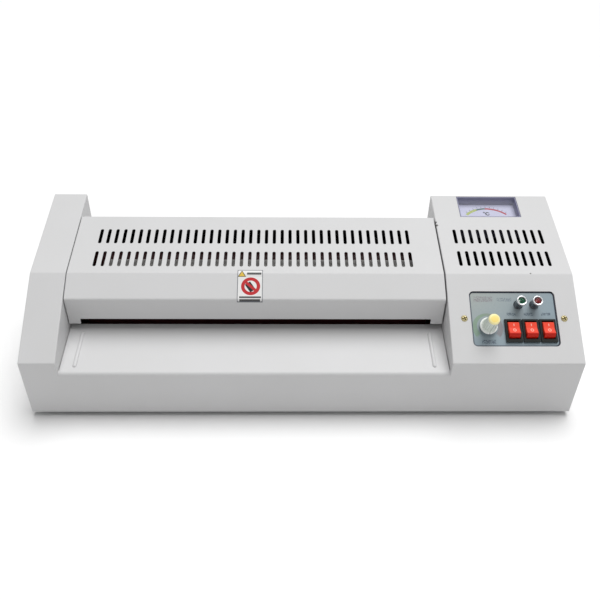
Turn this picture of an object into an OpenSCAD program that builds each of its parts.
// Hot-roller pouch laminator: a sheet-metal casing with two towers, a feed table and a vented
// cover, four silicone rollers in two side frames, a gear train, a heated front pair, sprung
// upper rollers and a control panel. Millimetres, +Z up, the feed table towards -Y.
// The origin is the middle of the footprint, on the surface that the feet stand on.

/* [Casing] */
// Width of the casing
body_w = 490; // [484:1:500]
// Depth of the casing
body_d = 175; // [174:1:180]
// Height of the casing at its rear edge, above its lower edge
body_h = 126; // [125:1:130]
// Height of the front wall of the towers
front_h = 59; // [57:1:61]
// Distance from the front wall to the bend between the two slopes
bend_y = 71.7; // [70:0.1:73]
// Height of that bend
bend_z = 103.5; // [102.5:0.1:105]
// Width of the left tower, which holds the gear train
left_w = 32; // [31:1:36]
// Width of the right tower, which holds the motor and the controls
right_w = 116; // [114:1:118]
// Thickness of the casing sheet
sheet = 1.2; // [1:0.1:1.5]
// Outer radius of the bends in the sheet
bend_r = 2.5; // [2:0.1:3]

/* [Feed table] */
// Height of the table's front edge
table_z = 46.9; // [45:0.1:47.5]
// Depth of the table
table_d = 56; // [54:0.5:57]
// Rise of the table from its front edge to its rear edge
table_rise = 10.1; // [9:0.1:11]
// Side gap between the table and the towers
table_gap = 0.4; // [0.3:0.1:0.6]

/* [Cover] */
// Distance from the front wall to the cover's front lip
lip_y = 50.1; // [49:0.1:51]
// Height of the lip's lower edge over the feed mouth
lip_z = 67.8; // [66:0.1:68]
// Height of the lower edge of the lip's two ears
ear_z = 62.2; // [61:0.1:63]
// Width of each ear
ear_w = 11; // [9:0.5:12]
// Distance from the front wall to the cover's rear wall
cover_rear_y = 143.8; // [143:0.1:145]
// Gap between the cover and the left tower
left_gap = 0.6; // [0.5:0.1:1]
// Gap between the cover and the right tower
right_gap = 1.1; // [1:0.1:1.5]

/* [Vents] */
// Width of a vent slot
slot_w = 3; // [2:0.1:3.2]
// Length of a vent slot
slot_len = 18.6; // [15:0.1:20]
// Slots in each row of the cover
cover_slots = 40; // [30:1:41]
// Slots in each row of the right tower
tower_slots = 12; // [8:1:13]
// Distance between neighbouring slots
slot_pitch = 7.4; // [7:0.1:7.5]

/* [Rollers] */
// Radius of the silicone sleeves, and of the roller gears' pitch circles at module 1
sleeve_r = 14; // [14:1:14]
// Distance from the front wall to the hot pair's axes
hot_y = 82; // [81:0.5:83]
// Height of the nip where the pouch passes
nip_z = 62; // [61.5:0.5:62.5]
// Gap between the two sleeves of a pair when nothing is between them
nip_gap = 0.3; // [0.2:0.1:0.5]
// Radius of the shafts' journals
journal_r = 4; // [3.5:0.5:4]
// Radial running clearance of every shaft in its bearing
running = 0.05; // [0.03:0.01:0.08]

/* [Controls] */
// Width of the panel cutout
panel_w = 77; // [75:1:80]
// Height of the panel cutout along the slope
panel_l = 51.5; // [50:0.5:53]
// Tilt of a rocker either way
rocker_tilt = 12; // [8:1:12]
// Width of the temperature meter's frame
meter_w = 59.2; // [56:0.2:60]

/* [Hidden] */
$fn = 64;
eps = 0.01;
far = 400;

// Casing
tower_x = body_w - right_w;
mid_x = (left_w + tower_x) / 2;
panel_angle = atan2(bend_z - front_h, bend_y);
top_angle = atan2(body_h - bend_z, body_d - bend_y);
foot_drop = 5;
floor_gap = 0.3;
floor_z = floor_gap + sheet;
flange_w = 12;
rear_wall_h = 53;
tower_outline = [[0, 0], [body_d, 0], [body_d, body_h], [bend_y, bend_z], [0, front_h]];
tower_inner = [[0, -far], [body_d, -far], [body_d, body_h], [bend_y, bend_z], [0, front_h]];
rear_edge_r = 1;
tower_radii = [0, 0, rear_edge_r, bend_r + 1, bend_r - 0.5];
rib_x = 45 - left_w;
rib_r = 2;
rib_y = 9;
rib_l = 36;
rib_sink = 0.7;

// Cover
cover_x0 = left_w + left_gap;
cover_x1 = tower_x - right_gap;
lip_top_z = front_h + lip_y * tan(panel_angle);
cover_top_z = bend_z + (cover_rear_y - bend_y) * tan(top_angle);
cover_rear_z = 72;
end_flange = 8;
cover_outline = [[lip_y, 0], [cover_rear_y, 0], [cover_rear_y, cover_top_z], [bend_y, bend_z],
    [lip_y, lip_top_z]];
cover_slot_rows = [17.5, 46.5];
cover_slot_x = mid_x - 3;
tower_slot_rows = [19.1, 47.7];
tower_slot_x = tower_x + 57.1;
tower_slot_pitch = slot_pitch + 0.06;

// Rollers and gears, all at module 1
roller_teeth = 2 * sleeve_r;
idler_teeth = 16;
drive_teeth = 36;
pinion_teeth = 18;
cool_y = hot_y + roller_teeth / 2 + idler_teeth + roller_teeth / 2;
idler_y = (hot_y + cool_y) / 2;
motor_y = hot_y + (drive_teeth + pinion_teeth) / 2;
pair_y = [hot_y, cool_y];
lower_z = nip_z - nip_gap / 2 - sleeve_r;
upper_z = nip_z + nip_gap / 2 + sleeve_r;
core_r = 6;
core_out = 1.5;
sleeve_x0 = left_w + 12.5;
gear_x = 14;
gear_w = 8;
drive_x = tower_x + 4;

// Side frames
plate = 2;
frame_x = left_w + 4;
frame_y0 = 58;
frame_y1 = 141;
frame_top = 98;
bush_r = 8;
block_l = 16;
block_x1 = frame_x + 6;
spring_x = frame_x + 3;
spring_r = 2.5;
spring_wire = 0.5;
spring_z0 = upper_z + block_l / 2;
spring_z1 = 93;
bar_l = 8;
bar_y = cover_rear_y - sheet - bar_l;
bar_z = 92;
bar_pin_r = 1.5;
rod_r = 5;
rod_z = 20;
rod_y = [66, 135];
spigot_r = 3;

// Fasteners
m4_r = 2;
m4_hole_r = 2.1;
head_r = 3.5;
head_h = 2.2;
m3_r = 1.5;

// Motor, power and heat
motor_r = 30;
boss_r = 10;
bracket_x = drive_x + gear_w + 3;
motor_screw_z = 24;
gland_x = tower_x + 86;
gland_z = 24;
gland_r = 7;
gland_out = 8;
heater_x0 = left_w + 27;
heater_x1 = tower_x - 17;
shoe_r0 = 15.6;
shoe_r1 = 17.6;
hood_top = 95;
hood_y0 = 65;
hood_y1 = 107;
hood_t = 0.8;

// Controls, in the slopes' own directions
panel_x = tower_x + 58;
panel_s = 41.6;
panel_t = 1.5;
panel_face = -sheet;
panel_back = panel_face - panel_t;
panel_screw_dx = 44.5;
knob_dx = -24.2;
knob_ds = -7.6;
knob_r = 7.7;
knob_top_r = 5;
knob_h = 20;
knob_z0 = 1.2;
lamp_dx = [5, 19.2];
lamp_ds = 13.2;
lamp_r = 3.7;
lamp_ring_r = 4.5;
lamp_h = 12;
lamp_rim_h = 2;
lamp_wall = 0.6;
switch_dx = [-2, 13.4, 28.8];
switch_ds = -10.8;
switch_w = 14.4;
switch_l = 21;
switch_drop = 0.6;
switch_bezel_h = 2.2;
rocker_w = 9.8;
rocker_l = 14.8;
rocker_edge_h = 1.6;
rocker_bevel = 1.9;
rocker_h = 4.4;
rocker_dip_h = 3.4;
rocker_depth = 3;
rocker_pivot_z = panel_face + switch_bezel_h - 1.5;
rocker_pin_r = 1.2;
meter_x = tower_x + 55.3;
meter_s = 89.4;
meter_l = 28.8;
meter_wall = 0.9;
meter_body_l = 26;
meter_depth = 10;
meter_floor = 0.8;
meter_pocket_l = 4;
meter_pocket_depth = 18;
dial_z = -8.2;
needle_l = 21;
needle_s = -22;
needle_rest = 58;
label_x = mid_x - 5.6;
label_w = 22.8;
label_t = 0.2;
label_lap = [3, 3.6];

// ---- Geometry helpers ----

function unit(v) = v / norm(v);
function left_of(v) = [-v.y, v.x];
function reversed(list) = [for (i = [len(list) - 1:-1:0]) list[i]];

// The corner p between a and b as an arc of radius r, or as itself when r is 0
function corner_arc(a, p, b, r, steps = 6) =
    r <= 0 ? [p] :
    let (u = unit(a - p), w = unit(b - p), half = acos(u * w) / 2)
    let (centre = p + unit(u + w) * r / sin(half))
    let (from = p + u * r / tan(half) - centre, to = p + w * r / tan(half) - centre)
    let (start = atan2(from.y, from.x), turn = (atan2(to.y, to.x) - start + 540) % 360 - 180)
    [for (i = [0:steps]) centre + r * [cos(start + turn * i / steps), sin(start + turn * i / steps)]];

// A closed outline with its corners rounded
function rounded(points, radii) =
    let (n = len(points))
    [for (i = [0:n - 1]) each corner_arc(points[(i + n - 1) % n], points[i], points[(i + 1) % n], radii[i])];

// A closed anticlockwise outline moved inwards by t
function inset(points, t) =
    let (n = len(points))
    [for (i = [0:n - 1])
        let (before = left_of(unit(points[i] - points[(i + n - 1) % n])))
        let (after = left_of(unit(points[(i + 1) % n] - points[i])))
        points[i] + (before + after) * t / (1 + before * after)];

// An open path moved to its left by t
function shifted(path, t) =
    let (last = len(path) - 1)
    [for (i = [0:last])
        let (before = left_of(unit(path[max(i, 1)] - path[max(i, 1) - 1])))
        let (after = left_of(unit(path[min(i, last - 1) + 1] - path[min(i, last - 1)])))
        path[i] + (before + after) * t / (1 + before * after)];

// An open path with its inner corners rounded; r belongs to the path shifted by t
function soft_path(path, r, t) =
    let (last = len(path) - 1, moved = shifted(path, t))
    [for (i = [0:last])
        if (i == 0 || i == last) moved[i]
        else each corner_arc(moved[i - 1], moved[i], moved[i + 1],
            r - t * sign(cross(path[i] - path[i - 1], path[i + 1] - path[i])))];

// The outline of a sheet of thickness t lying to the left of a bent path
function sheet_outline(path, r, t) = concat(soft_path(path, r, 0), reversed(soft_path(path, r, t)));

module in_frame() {
    translate([-body_w / 2, -(body_d + gland_out) / 2, foot_drop])
        children();
}

// A drawing in the (y, z) plane, drawn out from x0 to x1
module along_x(x0, x1) {
    translate([x0, 0, 0])
        rotate([90, 0, 90])
            linear_extrude(x1 - x0)
                children();
}

module rod_x(x0, x1, y, z, r) {
    translate([x0, y, z])
        rotate([0, 90, 0])
            cylinder(r = r, h = x1 - x0);
}

module box(from, to) {
    translate(from)
        cube(to - from);
}

// Local frames on the two slopes: x across, y up the slope, z out of the sheet
module on_panel(x, s) {
    translate([x, s * cos(panel_angle), front_h + s * sin(panel_angle)])
        rotate([panel_angle, 0, 0])
            children();
}

module on_top(x, s) {
    translate([x, bend_y + s * cos(top_angle), bend_z + s * sin(top_angle)])
        rotate([top_angle, 0, 0])
            children();
}

module both_sides() {
    children();
    translate([2 * mid_x, 0, 0])
        mirror([1, 0, 0])
            children();
}

module rounded_rectangle(w, l, r) {
    polygon(rounded([[-w / 2, -l / 2], [w / 2, -l / 2], [w / 2, l / 2], [-w / 2, l / 2]], [r, r, r, r]));
}

module obround(w, l) {
    square([w, l - w], center = true);
    for (side = [-1, 1])
        translate([0, side * (l - w) / 2])
            circle(d = w, $fn = 32);
}

module slot_grid(centre_x, rows, count, pitch) {
    for (row = rows)
        for (i = [0:count - 1])
            on_top(centre_x + (i - (count - 1) / 2) * pitch, row)
                translate([0, 0, -3])
                    linear_extrude(6)
                        obround(slot_w, slot_len);
}

// A spur gear of module 1 in the (y, z) plane, with a tooth on +Y when phase is 0
module gear_outline(teeth, phase) {
    step = 360 / teeth;
    half_widths = [[teeth / 2 - 1.25, 0.34], [teeth / 2, 0.205], [teeth / 2 + 0.9, 0.1]];
    polygon([for (i = [0:teeth - 1])
        for (p = concat([for (h = half_widths) [h[0], -h[1]]], reversed(half_widths)))
            let (a = (i + phase + p[1]) * step)
            p[0] * [cos(a), sin(a)]]);
}

module gear(teeth, phase, x, y, z, bore_r) {
    translate([0, y, z])
        difference() {
            along_x(x, x + gear_w)
                gear_outline(teeth, phase);
            rod_x(x - 1, x + gear_w + 1, 0, 0, bore_r);
        }
}

// A pan-head screw whose head sits below z = 0 and whose shank points up
module screw(r, l, crown_r, crown_h) {
    cylinder(r = r, h = l, $fn = 24);
    translate([0, 0, -crown_h])
        difference() {
            cylinder(r = crown_r, h = crown_h, $fn = 32);
            for (turn = [0, 90])
                rotate([0, 0, turn])
                    translate([-crown_r * 0.6, -0.4, -1])
                        cube([crown_r * 1.2, 0.8, 2]);
        }
}

// ---- Where the chassis is screwed together ----

edge_screws = [for (x = [20, body_w / 3, 2 * body_w / 3, body_w - 20])
    for (y = [sheet + 7, body_d - sheet - 7]) [x, y]];
bracket_screws = [for (y = [motor_y - 22, motor_y + 22]) [bracket_x + 8, y]];
frame_foot_screws = [for (x = [frame_x + 7, 2 * mid_x - frame_x - 7]) for (y = [72, 128]) [x, y]];
foot_places = [for (x = [34, body_w - 34]) for (y = [26, body_d - 26]) [x, y]];

module holes_at(places, z, r) {
    for (p = places)
        translate([p.x, p.y, z - 3])
            cylinder(r = r, h = 6, $fn = 24);
}

// ---- Casing ----

module tower(x0, x1) {
    difference() {
        along_x(x0, x1)
            polygon(rounded(tower_outline, tower_radii));
        along_x(x0 + sheet, x1 - sheet)
            polygon(inset(tower_inner, sheet));
    }
}

table_path = [[0, 0], [0, table_z], [table_d, table_z + table_rise]];

module table_rib() {
    slope = atan2(table_rise, table_d);
    translate([0, rib_y, table_z + rib_y * tan(slope) - rib_sink])
        rotate([slope, 0, 0]) {
            rotate([-90, 0, 0])
                cylinder(r = rib_r, h = rib_l, $fn = 32);
            for (s = [0, rib_l])
                translate([0, s, 0])
                    sphere(r = rib_r, $fn = 24);
        }
}

module feed_table() {
    outline = sheet_outline(reversed(table_path), bend_r + 1, sheet);
    along_x(left_w + table_gap, tower_x - table_gap)
        polygon(outline);
    along_x(left_w - sheet / 2, tower_x + sheet / 2)
        intersection() {
            polygon(outline);
            square([bend_r + 1.5, table_z + 2]);
        }
    both_sides()
        translate([left_w + rib_x, 0, 0])
            table_rib();
}

module casing_flanges() {
    box([sheet / 2, sheet / 2, floor_z], [body_w - sheet / 2, flange_w, floor_z + sheet]);
    box([sheet / 2, body_d - flange_w, floor_z], [body_w - sheet / 2, body_d - sheet / 2, floor_z + sheet]);
}

module panel_cutout() {
    on_panel(panel_x, panel_s)
        translate([0, 0, -5])
            linear_extrude(10)
                rounded_rectangle(panel_w, panel_l, 4);
}

module casing_openings() {
    box([sheet, sheet, -1], [body_w - sheet, body_d - sheet, floor_z]);
    holes_at(edge_screws, floor_z, m4_r);
    slot_grid(tower_slot_x, tower_slot_rows, tower_slots, tower_slot_pitch);
    panel_cutout();
    for (side = [-1, 1])
        on_panel(panel_x + side * panel_screw_dx, panel_s)
            translate([0, 0, -3])
                cylinder(r = m3_r + 0.1, h = 6, $fn = 24);
    on_top(meter_x, meter_s)
        translate([-meter_w / 2 - 0.2, -meter_l / 2 - 0.2, -sheet - 0.5])
            cube([meter_w + 0.4, meter_l + 0.4, 9]);
    for (y = pair_y)
        for (z = [lower_z, upper_z])
            rod_x(left_w - 3, left_w + 1, y, z, core_r + 1);
    rod_x(left_w - 3, left_w + 1, idler_y, lower_z, core_r);
    rod_x(tower_x - 1, tower_x + 3, hot_y, lower_z, core_r + 1);
    translate([gland_x, body_d - 3, gland_z])
        rotate([-90, 0, 0])
            cylinder(r = gland_r, h = 6);
}

module main_casing() {
    color("gainsboro")
        in_frame()
            difference() {
                union() {
                    tower(0, left_w);
                    tower(tower_x, body_w);
                    feed_table();
                    box([left_w - sheet / 2, body_d - sheet, 0], [tower_x + sheet / 2, body_d, rear_wall_h]);
                    casing_flanges();
                }
                casing_openings();
            }
}

module cover_shell() {
    radii = [0, 0, rear_edge_r, bend_r + 1, bend_r];
    difference() {
        along_x(cover_x0, cover_x1)
            polygon(rounded(cover_outline, radii));
        along_x(cover_x0 + sheet, cover_x1 - sheet)
            polygon(inset(concat([[lip_y, -far], [cover_rear_y, -far]],
                [for (i = [2:4]) cover_outline[i]]), sheet));
        along_x(cover_x0 - 1, cover_x1 + 1)
            polygon(inset(concat([[lip_y, -far], [cover_rear_y, -far]],
                [for (i = [2:4]) cover_outline[i]]), end_flange));
    }
}

cover_screw_x = [mid_x - 140, mid_x, mid_x + 140];

module center_cover() {
    color("gainsboro")
        in_frame()
            difference() {
                cover_shell();
                box([cover_x0 - 1, lip_y - 1, -1], [cover_x1 + 1, cover_rear_y + 1, ear_z]);
                box([cover_x0 - 1, lip_y + end_flange, 0], [cover_x1 + 1, cover_rear_y + 1, cover_rear_z]);
                translate([(cover_x0 + cover_x1) / 2, lip_y + 12, lip_z - 10])
                    rotate([90, 0, 0])
                        linear_extrude(14)
                            rounded_rectangle(cover_x1 - cover_x0 - 2 * ear_w, 20, 1.2);
                slot_grid(cover_slot_x, cover_slot_rows, cover_slots, slot_pitch);
                for (x = cover_screw_x)
                    translate([x, cover_rear_y - 3, bar_z + bar_l / 2])
                        rotate([-90, 0, 0])
                            cylinder(r = m3_r + 0.1, h = 6, $fn = 24);
            }
}

module cover_screws() {
    color("silver")
        in_frame()
            for (x = cover_screw_x)
                translate([x, cover_rear_y, bar_z + bar_l / 2])
                    rotate([90, 0, 0])
                        screw(m3_r, 6, 2.8, 1.8);
}

module exit_plate() {
    path = [[body_d - sheet, 36], [body_d - sheet, rear_wall_h - 1.5], [frame_y1 + 1.5, 57]];
    color("gainsboro")
        in_frame()
            along_x(left_w + table_gap, tower_x - table_gap)
                polygon(sheet_outline(path, bend_r, sheet));
}

module base_plate() {
    vent_x = [for (i = [0:9]) mid_x - 135 + i * 30];
    color("darkgray")
        in_frame()
            difference() {
                box([sheet + floor_gap, sheet + floor_gap, floor_gap],
                    [body_w - sheet - floor_gap, body_d - sheet - floor_gap, floor_z]);
                holes_at(edge_screws, floor_z, m4_hole_r);
                holes_at(bracket_screws, floor_z, m4_hole_r);
                holes_at(frame_foot_screws, floor_z, m4_hole_r);
                holes_at(foot_places, floor_z, m4_r);
                for (x = vent_x)
                    translate([x, idler_y, -2])
                        linear_extrude(6)
                            obround(5, 36);
            }
}

module chassis_screws() {
    color("silver")
        in_frame() {
            for (p = concat(edge_screws, bracket_screws, frame_foot_screws))
                translate([p.x, p.y, floor_gap])
                    screw(m4_r, 5, head_r, head_h);
            for (p = foot_places)
                translate([p.x, p.y, floor_gap - head_h])
                    screw(m4_r, 6, head_r, head_h);
        }
}

module feet() {
    color("dimgray")
        in_frame()
            for (p = foot_places)
                translate([p.x, p.y, -foot_drop])
                    difference() {
                        cylinder(r1 = 8, r2 = 9.5, h = foot_drop + floor_gap);
                        translate([0, 0, -1])
                            cylinder(r = head_r + 1, h = foot_drop + floor_gap - head_h + 1);
                        cylinder(r = m4_hole_r, h = 20, $fn = 24);
                    }
}

module cord_gland() {
    color("black")
        in_frame()
            translate([gland_x, body_d, gland_z])
                rotate([-90, 0, 0])
                    difference() {
                        union() {
                            cylinder(r1 = gland_r + 2.5, r2 = gland_r - 0.5, h = gland_out);
                            translate([0, 0, -4])
                                cylinder(r = gland_r, h = 5);
                            translate([0, 0, -4])
                                cylinder(r = gland_r + 1.5, h = 4 - sheet);
                        }
                        translate([0, 0, -5])
                            cylinder(r = 3.5, h = gland_out + 6);
                    }
}

module safety_label() {
    path = [[lip_y, lip_top_z - label_lap[0]], [lip_y, lip_top_z], [bend_y, bend_z],
        [bend_y, bend_z] + label_lap[1] * [cos(top_angle), sin(top_angle)]];
    color("white")
        in_frame()
            along_x(label_x - label_w / 2, label_x + label_w / 2)
                polygon(sheet_outline(path, bend_r, label_t));
}

// ---- Controls ----

module control_panel() {
    color("lightsteelblue")
        in_frame()
            on_panel(panel_x, panel_s)
                difference() {
                    translate([0, 0, panel_back])
                        linear_extrude(panel_t)
                            rounded_rectangle(panel_w + 20, panel_l + 8, 3);
                    translate([knob_dx, knob_ds, panel_back - 1])
                        cylinder(r = 3.5, h = 4);
                    for (dx = lamp_dx)
                        translate([dx, lamp_ds, panel_back - 1])
                            cylinder(r = lamp_r, h = 4);
                    for (dx = switch_dx)
                        translate([dx - switch_w / 2 + 1, switch_ds - switch_drop - switch_l / 2 + 1,
                            panel_back - 1])
                            cube([switch_w - 2, switch_l - 2, 4]);
                    for (side = [-1, 1])
                        translate([side * panel_screw_dx, 0, panel_back - 1])
                            cylinder(r = m3_r, h = 4, $fn = 24);
                }
}

module panel_screws() {
    color("goldenrod")
        in_frame()
            for (side = [-1, 1])
                on_panel(panel_x + side * panel_screw_dx, panel_s)
                    mirror([0, 0, 1])
                        screw(m3_r, 6, 3, 1.2);
}

module potentiometer() {
    color("gray")
        in_frame()
            on_panel(panel_x + knob_dx, panel_s + knob_ds)
                difference() {
                    union() {
                        translate([0, 0, panel_back - 9])
                            cylinder(r = 8, h = 9);
                        translate([0, 0, panel_back - 1])
                            cylinder(r = 3.5, h = panel_t + 2.8);
                        translate([0, 0, panel_face])
                            cylinder(r = 5.5, h = 1.6, $fn = 6);
                        translate([-6, -14, panel_back - 6])
                            cube([12, 8, 1]);
                    }
                    translate([0, 0, panel_back - 7])
                        cylinder(r = 3 + running, h = 20);
                }
}

module knob() {
    flute_lean = atan2(knob_r - knob_top_r, knob_h - 4);
    color("lightgray")
        in_frame()
            on_panel(panel_x + knob_dx, panel_s + knob_ds) {
                difference() {
                    union() {
                        translate([0, 0, knob_z0])
                            cylinder(r = knob_r, h = 1.6);
                        translate([0, 0, knob_z0 + 1.6])
                            cylinder(r1 = knob_r, r2 = knob_top_r, h = knob_h - 4);
                        translate([0, 0, knob_z0 + knob_h - 2.4])
                            cylinder(r = knob_top_r, h = 0.8);
                    }
                    for (i = [0:17])
                        rotate([0, 0, i * 20])
                            translate([knob_r + 0.35, 0, knob_z0 + 1.6])
                                rotate([0, -flute_lean, 0])
                                    cylinder(r = 0.7, h = knob_h, $fn = 16);
                    translate([0, 0, knob_z0 - 1])
                        cylinder(r = 3, h = 12);
                    translate([0, 0, knob_z0 - 1])
                        cylinder(r = 6, h = 1.8);
                }
                translate([0, 0, panel_back - 6])
                    cylinder(r = 3, h = 6 + knob_z0 + 11 - panel_back);
            }
}

module knob_cap() {
    color("khaki")
        in_frame()
            on_panel(panel_x + knob_dx, panel_s + knob_ds)
                translate([0, 0, knob_z0 + knob_h - 1.6]) {
                    cylinder(r = knob_top_r - 0.1, h = 1.2);
                    translate([0, 0, 1.2])
                        cylinder(r1 = knob_top_r - 0.1, r2 = knob_top_r - 0.9, h = 0.8);
                }
}

module lamp_bezels() {
    color("silver")
        in_frame()
            for (dx = lamp_dx)
                on_panel(panel_x + dx, panel_s + lamp_ds)
                    difference() {
                        union() {
                            translate([0, 0, panel_back - 8])
                                cylinder(r = lamp_r, h = lamp_h + 8 + panel_t);
                            translate([0, 0, panel_face])
                                cylinder(r = lamp_ring_r, h = 1);
                            translate([0, 0, panel_face + lamp_h - lamp_rim_h])
                                cylinder(r = lamp_ring_r, h = lamp_rim_h);
                        }
                        translate([0, 0, panel_back - 9])
                            cylinder(r = lamp_r - lamp_wall, h = 40);
                    }
}

module lamp_lens(dx, shade) {
    color(shade)
        in_frame()
            on_panel(panel_x + dx, panel_s + lamp_ds) {
                translate([0, 0, panel_back - 4])
                    cylinder(r = lamp_r - lamp_wall, h = lamp_h + 4);
                translate([0, 0, panel_back + lamp_h])
                    cylinder(r1 = lamp_r - lamp_wall, r2 = lamp_r - lamp_wall - 1, h = 0.8);
            }
}

module green_lamp_lens() {
    lamp_lens(lamp_dx[0], "seagreen");
}

module red_lamp_lens() {
    lamp_lens(lamp_dx[1], "firebrick");
}

module switch_housing() {
    difference() {
        union() {
            translate([-switch_w / 2, -switch_l / 2 - switch_drop, panel_face])
                cube([switch_w, switch_l, switch_bezel_h]);
            translate([-switch_w / 2 + 1, -switch_l / 2 + 1 - switch_drop, panel_back - 14])
                cube([switch_w - 2, switch_l - 2, panel_t + 14]);
        }
        translate([-rocker_w / 2 - 0.3, -rocker_l / 2 - 1, panel_back - 8])
            cube([rocker_w + 0.6, rocker_l + 2, 30]);
        rod_x(-switch_w / 2 + 1.2, switch_w / 2 - 1.2, 0, rocker_pivot_z, rocker_pin_r + running);
    }
    for (dx = [-3, 3])
        translate([dx - 0.4, -2, panel_back - 20])
            cube([0.8, 4, 7]);
}

module switch_housings() {
    color("dimgray")
        in_frame()
            for (dx = switch_dx)
                on_panel(panel_x + dx, panel_s + switch_ds)
                    switch_housing();
}

// The rocker rests with its upper end pressed and its lower end raised
module rocker(dx) {
    half = rocker_l / 2;
    outline = [[-half, -rocker_depth], [half, -rocker_depth], [half, rocker_edge_h],
        [half - rocker_bevel, rocker_h], [0, rocker_dip_h], [rocker_bevel - half, rocker_h],
        [-half, rocker_edge_h]];
    color("orangered")
        in_frame()
            on_panel(panel_x + dx, panel_s + switch_ds)
                translate([0, 0, rocker_pivot_z])
                    rotate([-rocker_tilt, 0, 0]) {
                        along_x(-rocker_w / 2, rocker_w / 2)
                            polygon(rounded(outline, [0, 0, 0.6, 0.8, 6, 0.8, 0.6]));
                        rod_x(-rocker_w / 2 - 0.9, rocker_w / 2 + 0.9, 0, 0, rocker_pin_r);
                    }
}

module left_rocker() {
    rocker(switch_dx[0]);
}

module middle_rocker() {
    rocker(switch_dx[1]);
}

module right_rocker() {
    rocker(switch_dx[2]);
}

// Inner length of the meter's well: its rear wall follows the casing's upright rear wall
function well_rear(z) = meter_l / 2 + z * tan(top_angle);

module meter_housing() {
    color("slategray")
        in_frame()
            on_top(meter_x, meter_s)
                difference() {
                    along_x(-meter_w / 2, meter_w / 2)
                        polygon([[-meter_l / 2, -0.2], [-meter_l / 2, -sheet - 0.1],
                            [-meter_body_l, -sheet - 0.1], [-meter_body_l, -meter_pocket_depth],
                            [-meter_pocket_l, -meter_pocket_depth], [-meter_pocket_l, -meter_depth],
                            [well_rear(-meter_depth), -meter_depth],
                            [well_rear(-0.2), -0.2]]);
                    along_x(-meter_w / 2 + meter_wall, meter_w / 2 - meter_wall)
                        polygon([[-meter_l / 2 + meter_wall, 1], [-meter_l / 2 + meter_wall, -2.9],
                            [-meter_body_l + meter_wall, -2.9], [-meter_body_l + meter_wall, -16],
                            [-meter_pocket_l - meter_wall, -16],
                            [-meter_pocket_l - meter_wall, -meter_depth + meter_floor],
                            [well_rear(-meter_depth + meter_floor) - meter_wall, -meter_depth + meter_floor],
                            [well_rear(1) - meter_wall, 1]]);
                }
}

module meter_dial() {
    color("lavender")
        in_frame()
            on_top(meter_x, meter_s)
                difference() {
                    translate([-meter_w / 2 + meter_wall, -meter_body_l + meter_wall, dial_z - 0.8])
                        cube([meter_w - 2 * meter_wall, meter_body_l + well_rear(-9) - 2 * meter_wall, 0.8]);
                    translate([0, needle_s, dial_z - 2])
                        cylinder(r = 1.2, h = 4);
                }
}

module meter_needle() {
    color("black")
        in_frame()
            on_top(meter_x, meter_s)
                translate([0, needle_s, 0]) {
                    translate([0, 0, dial_z - 3])
                        cylinder(r = 1, h = 4.6);
                    rotate([0, 0, needle_rest])
                        translate([-0.35, 0, dial_z + 1])
                            cube([0.7, needle_l, 0.5]);
                }
}

module meter_window() {
    color("aliceblue", 0.3)
        in_frame()
            on_top(meter_x, meter_s)
                translate([-meter_w / 2 + meter_wall, -meter_body_l + meter_wall, -4.1])
                    cube([meter_w - 2 * meter_wall, meter_body_l + well_rear(-4.1) - 2 * meter_wall, 1.2]);
}

// ---- Side frames, bearings and springs ----

module side_frame() {
    outline = [[frame_y0, floor_z], [frame_y1, floor_z], [frame_y1, frame_top], [74, frame_top],
        [frame_y0, 88]];
    difference() {
        union() {
            along_x(frame_x, frame_x + plate)
                polygon(outline);
            box([frame_x, frame_y0, floor_z], [frame_x + 13, frame_y1, floor_z + plate]);
            box([frame_x, 74, frame_top - plate], [frame_x + 12, bar_y - 1, frame_top]);
        }
        for (y = pair_y) {
            rod_x(frame_x - 1, frame_x + plate + 1, y, lower_z, bush_r);
            box([frame_x - 1, y - block_l / 2 - 0.1, upper_z - block_l / 2],
                [frame_x + plate + eps, y + block_l / 2 + 0.1, frame_top - plate]);
            translate([spring_x, y, frame_top - 4])
                cylinder(r = m4_r, h = 6, $fn = 24);
        }
        for (y = rod_y)
            rod_x(frame_x - 1, frame_x + plate + 1, y, rod_z, spigot_r);
        rod_x(frame_x - 1, frame_x + plate + 1, bar_y + bar_l / 2, bar_z + bar_l / 2, bar_pin_r);
        rod_x(frame_x - 1, frame_x + plate + 1, idler_y, lower_z, spigot_r);
        holes_at(frame_foot_screws, floor_z + plate, m4_r);
    }
}

module left_side_frame() {
    color("lightgray")
        in_frame()
            side_frame();
}

module right_side_frame() {
    color("lightgray")
        in_frame()
            translate([2 * mid_x, 0, 0])
                mirror([1, 0, 0])
                    side_frame();
}

module tie_bars() {
    x0 = frame_x + plate;
    x1 = 2 * mid_x - x0;
    color("silver")
        in_frame() {
            for (y = rod_y) {
                rod_x(x0, x1, y, rod_z, rod_r);
                rod_x(frame_x, 2 * mid_x - frame_x, y, rod_z, spigot_r);
            }
            difference() {
                union() {
                    box([x0, bar_y, bar_z], [x1, bar_y + bar_l, bar_z + bar_l]);
                    rod_x(frame_x, 2 * mid_x - frame_x, bar_y + bar_l / 2, bar_z + bar_l / 2, bar_pin_r);
                }
                for (x = cover_screw_x)
                    translate([x, bar_y - 1, bar_z + bar_l / 2])
                        rotate([-90, 0, 0])
                            cylinder(r = m3_r, h = bar_l + 2, $fn = 24);
            }
        }
}

module lower_bushes() {
    color("peru")
        in_frame()
            both_sides()
                for (y = pair_y)
                    difference() {
                        union() {
                            rod_x(frame_x - 1, frame_x + plate, y, lower_z, bush_r);
                            rod_x(frame_x + plate, frame_x + plate + 2.5, y, lower_z, bush_r + 2);
                        }
                        rod_x(frame_x - 2, frame_x + plate + 4, y, lower_z, journal_r + running);
                    }
}

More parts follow.
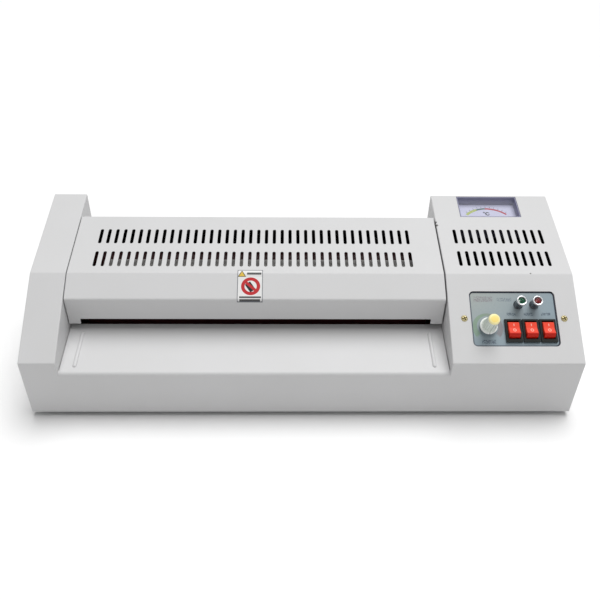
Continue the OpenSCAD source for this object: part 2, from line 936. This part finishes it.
module bearing_blocks(y) {
    half = block_l / 2;
    both_sides()
        difference() {
            union() {
                box([frame_x - 1, y - half, upper_z - half],
                    [frame_x + plate + 0.5, y + half, upper_z + half]);
                box([frame_x + plate + 0.2, y - half - 2, upper_z - half],
                    [block_x1, y + half + 2, upper_z + half]);
            }
            rod_x(frame_x - 2, block_x1 + 1, y, upper_z, journal_r + running);
        }
}

module front_bearing_blocks() {
    color("burlywood")
        in_frame()
            bearing_blocks(hot_y);
}

module rear_bearing_blocks() {
    color("burlywood")
        in_frame()
            bearing_blocks(cool_y);
}

// A round wire wound about +Z from z = 0 to z = h
module coil_spring(r, wire_r, turns, h) {
    sides = 6;
    steps = 10 * turns;
    points = [for (i = [0:steps])
        for (j = [0:sides - 1])
            let (a = 360 * turns * i / steps, b = 360 * j / sides)
            let (out = r + wire_r * cos(b))
            [out * cos(a), out * sin(a), wire_r + (h - 2 * wire_r) * i / steps + wire_r * sin(b)]];
    walls = [for (i = [0:steps - 1])
        for (j = [0:sides - 1])
            let (k = (j + 1) % sides)
            [i * sides + j, i * sides + k, (i + 1) * sides + k, (i + 1) * sides + j]];
    start = [[for (j = [0:sides - 1]) sides - 1 - j]];
    end = [[for (j = [0:sides - 1]) steps * sides + j]];
    polyhedron(points, concat(start, walls, end));
}

module springs(y) {
    both_sides()
        translate([spring_x, y, spring_z0])
            coil_spring(spring_r, spring_wire, 5, spring_z1 - spring_z0);
}

module front_springs() {
    color("silver")
        in_frame()
            springs(hot_y);
}

module rear_springs() {
    color("silver")
        in_frame()
            springs(cool_y);
}

module pressure_screws() {
    color("silver")
        in_frame()
            both_sides()
                for (y = pair_y)
                    translate([spring_x, y, spring_z1]) {
                        cylinder(r = spring_r + 0.6, h = 1);
                        cylinder(r = m4_r, h = 7, $fn = 24);
                        translate([0, 0, frame_top - spring_z1])
                            cylinder(r = head_r, h = head_h, $fn = 6);
                    }
}

// ---- Rollers and gears ----

module roller_shaft(y, z, end_x) {
    color("silver")
        in_frame() {
            rod_x(gear_x - 2, end_x, y, z, journal_r);
            rod_x(sleeve_x0 - core_out, 2 * mid_x - sleeve_x0 + core_out, y, z, core_r);
        }
}

shaft_end_x = tower_x - 2.5;

module front_lower_shaft() {
    roller_shaft(hot_y, lower_z, drive_x + gear_w + 1);
}

module front_upper_shaft() {
    roller_shaft(hot_y, upper_z, shaft_end_x);
}

module rear_lower_shaft() {
    roller_shaft(cool_y, lower_z, shaft_end_x);
}

module rear_upper_shaft() {
    roller_shaft(cool_y, upper_z, shaft_end_x);
}

module roller_sleeve(y, z) {
    color("darkred")
        in_frame()
            difference() {
                rod_x(sleeve_x0, 2 * mid_x - sleeve_x0, y, z, sleeve_r);
                rod_x(sleeve_x0 - 1, 2 * mid_x - sleeve_x0 + 1, y, z, core_r);
            }
}

module front_lower_sleeve() {
    roller_sleeve(hot_y, lower_z);
}

module front_upper_sleeve() {
    roller_sleeve(hot_y, upper_z);
}

module rear_lower_sleeve() {
    roller_sleeve(cool_y, lower_z);
}

module rear_upper_sleeve() {
    roller_sleeve(cool_y, upper_z);
}

// Meshing gears: a tooth of the lower gear stands in a gap of the upper gear and of the idler
module roller_gear(y, z, phase) {
    color("ivory")
        in_frame()
            gear(roller_teeth, phase, gear_x, y, z, journal_r);
}

module front_lower_gear() {
    roller_gear(hot_y, lower_z, 0);
}

module front_upper_gear() {
    roller_gear(hot_y, upper_z, 0.5);
}

module rear_lower_gear() {
    roller_gear(cool_y, lower_z, 0);
}

module rear_upper_gear() {
    roller_gear(cool_y, upper_z, 0.5);
}

module idler_gear() {
    color("ivory")
        in_frame()
            gear(idler_teeth, 0.5, gear_x, idler_y, lower_z, journal_r + running);
}

module idler_stud() {
    color("silver")
        in_frame() {
            rod_x(gear_x - 2, frame_x, idler_y, lower_z, journal_r);
            rod_x(frame_x - 1, frame_x + plate, idler_y, lower_z, spigot_r);
            rod_x(gear_x - 3.5, gear_x - 0.3, idler_y, lower_z, journal_r + 1.5);
            rod_x(gear_x + gear_w + 0.3, gear_x + gear_w + 2, idler_y, lower_z, journal_r + 1.5);
        }
}

module drive_gear() {
    color("ivory")
        in_frame()
            gear(drive_teeth, 0, drive_x, hot_y, lower_z, journal_r);
}

module motor_pinion() {
    color("ivory")
        in_frame() {
            along_x(drive_x, drive_x + gear_w)
                translate([motor_y, lower_z])
                    gear_outline(pinion_teeth, 0.5);
            rod_x(drive_x + gear_w - 1, bracket_x + 10, motor_y, lower_z, 3);
        }
}

module gear_motor() {
    color("lightgray")
        in_frame()
            difference() {
                union() {
                    rod_x(bracket_x, bracket_x + plate + 1, motor_y, lower_z, boss_r);
                    rod_x(bracket_x + plate, bracket_x + 20, motor_y, lower_z, motor_r);
                    rod_x(bracket_x + 20 - eps, bracket_x + 44, motor_y, lower_z, motor_r - 3);
                }
                rod_x(bracket_x - 1, bracket_x + 12, motor_y, lower_z, 3 + running);
                for (side = [-1, 1])
                    rod_x(bracket_x, bracket_x + 8, motor_y, lower_z + side * motor_screw_z, m4_r);
            }
}

module motor_bracket() {
    color("silver")
        in_frame()
            difference() {
                union() {
                    box([bracket_x, motor_y - 30, floor_z], [bracket_x + plate, motor_y + 30, lower_z + 30]);
                    box([bracket_x, motor_y - 30, floor_z], [bracket_x + 16, motor_y + 30, floor_z + plate]);
                }
                rod_x(bracket_x - 1, bracket_x + plate + 1, motor_y, lower_z, boss_r);
                for (side = [-1, 1])
                    rod_x(bracket_x - 1, bracket_x + 4, motor_y, lower_z + side * motor_screw_z, m4_hole_r);
                holes_at(bracket_screws, floor_z + plate, m4_r);
            }
}

module motor_screws() {
    color("silver")
        in_frame()
            for (side = [-1, 1])
                translate([bracket_x, motor_y, lower_z + side * motor_screw_z])
                    rotate([0, 90, 0])
                        screw(m4_r, 7, head_r, head_h);
}

// ---- Heating and power ----

// A curved shoe around the hot rollers: above the upper one, below the lower one
module heater_shoe(z, flip) {
    translate([0, hot_y, z])
        mirror([0, 0, flip])
            along_x(heater_x0, heater_x1)
                difference() {
                    circle(r = shoe_r1);
                    circle(r = shoe_r0);
                    translate([-30, -60 + 7])
                        square([60, 60]);
                }
}

module heater_plates() {
    color("silver")
        in_frame() {
            heater_shoe(upper_z, 0);
            heater_shoe(lower_z, 1);
        }
}

module heater_covers() {
    hood = [[hood_y1, nip_z + 8], [hood_y1, hood_top], [hood_y0, hood_top], [hood_y0, nip_z + 8]];
    pan_z = 2 * nip_z - hood_top;
    pan = [[hood_y0, 43], [hood_y0, pan_z], [hood_y1, pan_z], [hood_y1, 43]];
    color("whitesmoke")
        in_frame() {
            along_x(heater_x0, heater_x1)
                polygon(sheet_outline(hood, 2, hood_t));
            along_x(heater_x0, heater_x1)
                polygon(sheet_outline(pan, 2, hood_t));
        }
}

module temperature_sensor() {
    color("orange")
        in_frame() {
            box([mid_x - 4, hood_y1 - hood_t - 9, upper_z - 3],
                [mid_x + 4, hood_y1 - hood_t - 7.8, upper_z + 3]);
            box([mid_x - 3, hood_y1 - hood_t - 8, upper_z + 2], [mid_x + 3, hood_y1 - hood_t, upper_z + 3]);
        }
}

module circuit_board() {
    board_z = 14;
    x0 = tower_x + 20;
    y0 = 18;
    color("seagreen")
        in_frame() {
            box([x0, y0, board_z], [x0 + 76, y0 + 46, board_z + 1.6]);
            for (x = [x0 + 5, x0 + 71])
                for (y = [y0 + 5, y0 + 41])
                    translate([x, y, floor_z])
                        cylinder(r = 3, h = board_z - floor_z + eps, $fn = 24);
            for (i = [0:1])
                box([x0 + 10 + i * 20, y0 + 26, board_z + 1], [x0 + 26 + i * 20, y0 + 38, board_z + 16]);
            for (i = [0:2])
                translate([x0 + 14 + i * 12, y0 + 12, board_z + 1])
                    cylinder(r = 4, h = 13, $fn = 32);
            box([x0 + 54, y0 + 8, board_z + 1], [x0 + 57, y0 + 36, board_z + 22]);
        }
}

module transformer() {
    x0 = tower_x + 72;
    y0 = 84;
    color("tan")
        in_frame() {
            box([x0, y0, floor_z], [x0 + 36, y0 + 30, floor_z + 30]);
            box([x0 + 4, y0 - 7, floor_z + 6], [x0 + 32, y0 + 37, floor_z + 24]);
        }
}

module terminal_block() {
    x0 = tower_x + 72;
    y0 = 125;
    color("ghostwhite")
        in_frame()
            difference() {
                box([x0, y0, floor_z], [x0 + 36, y0 + 14, floor_z + 12]);
                for (i = [0:3])
                    translate([x0 + 4.5 + i * 9, y0 + 7, floor_z + 4])
                        cylinder(r = 2, h = 10, $fn = 24);
            }
}

main_casing();
center_cover();
cover_screws();
exit_plate();
base_plate();
chassis_screws();
feet();
cord_gland();
safety_label();
control_panel();
panel_screws();
potentiometer();
knob();
knob_cap();
lamp_bezels();
green_lamp_lens();
red_lamp_lens();
switch_housings();
left_rocker();
middle_rocker();
right_rocker();
meter_housing();
meter_dial();
meter_needle();
meter_window();
left_side_frame();
right_side_frame();
tie_bars();
lower_bushes();
front_bearing_blocks();
rear_bearing_blocks();
front_springs();
rear_springs();
pressure_screws();
front_lower_shaft();
front_upper_shaft();
rear_lower_shaft();
rear_upper_shaft();
front_lower_sleeve();
front_upper_sleeve();
rear_lower_sleeve();
rear_upper_sleeve();
front_lower_gear();
front_upper_gear();
rear_lower_gear();
rear_upper_gear();
idler_gear();
idler_stud();
drive_gear();
motor_pinion();
gear_motor();
motor_bracket();
motor_screws();
heater_plates();
heater_covers();
temperature_sensor();
circuit_board();
transformer();
terminal_block();
